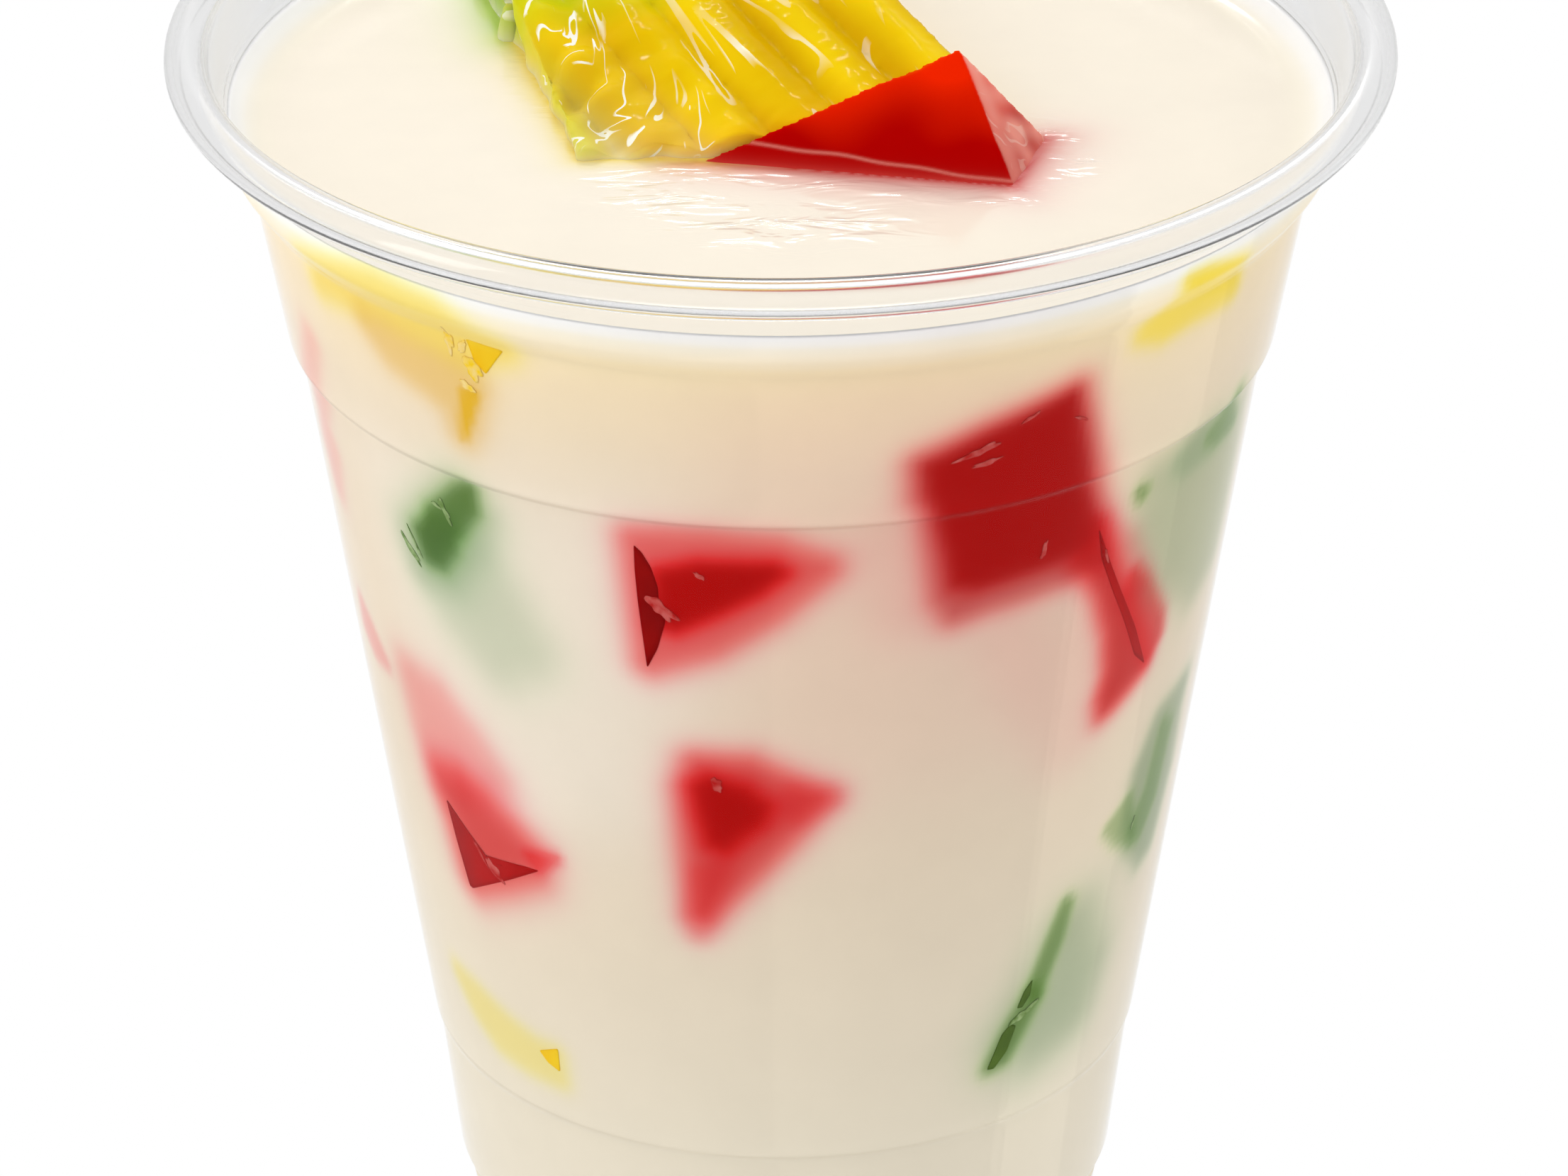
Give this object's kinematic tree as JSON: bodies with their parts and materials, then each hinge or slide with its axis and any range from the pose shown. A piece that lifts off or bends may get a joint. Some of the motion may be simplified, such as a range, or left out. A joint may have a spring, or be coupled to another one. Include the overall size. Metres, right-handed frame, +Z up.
{
  "type": "mosaic milk gelatin dessert in a clear cup",
  "caption": "Clear tapered plastic cup with a rolled rim, filled with milk gelatin that holds cut blocks of red, green and yellow gelatin, some standing out of the top.",
  "frame": {"origin": "middle of the cup's foot, on the surface it stands on", "axes": "+Z up along the cup's axis, -Y towards the pictured front"},
  "size_m": [0.098, 0.098, 0.1096],
  "materials": {
    "clear_cup": "clear glossy thermoformed plastic",
    "milk_gelatin": "smooth, moist, cream-white set milk gelatin",
    "red_gelatin": "wet, clear deep-red gelatin",
    "green_gelatin": "wet, clear green gelatin",
    "yellow_gelatin": "wet, clear yellow gelatin"
  },
  "bodies": {
    "root": {"cup": "clear_cup", "milk_gelatin": "milk_gelatin", "red_top": "red_gelatin", "yellow_top": "yellow_gelatin", "green_top": "green_gelatin", "yellow_left": "yellow_gelatin", "green_left": "green_gelatin", "red_upper": "red_gelatin", "red_right": "red_gelatin", "red_right_low": "red_gelatin", "yellow_right": "yellow_gelatin", "green_right_up": "green_gelatin", "red_far_left": "red_gelatin", "red_left": "red_gelatin", "red_left_low": "red_gelatin", "red_lower": "red_gelatin", "green_right": "green_gelatin", "green_right_low": "green_gelatin", "yellow_low": "yellow_gelatin", "green_back_left": "green_gelatin", "red_back_left": "red_gelatin", "yellow_back": "yellow_gelatin", "green_back": "green_gelatin", "red_back_right": "red_gelatin", "yellow_back_left": "yellow_gelatin", "red_back": "red_gelatin", "red_back_low": "red_gelatin"}
  },
  "joints": []
}
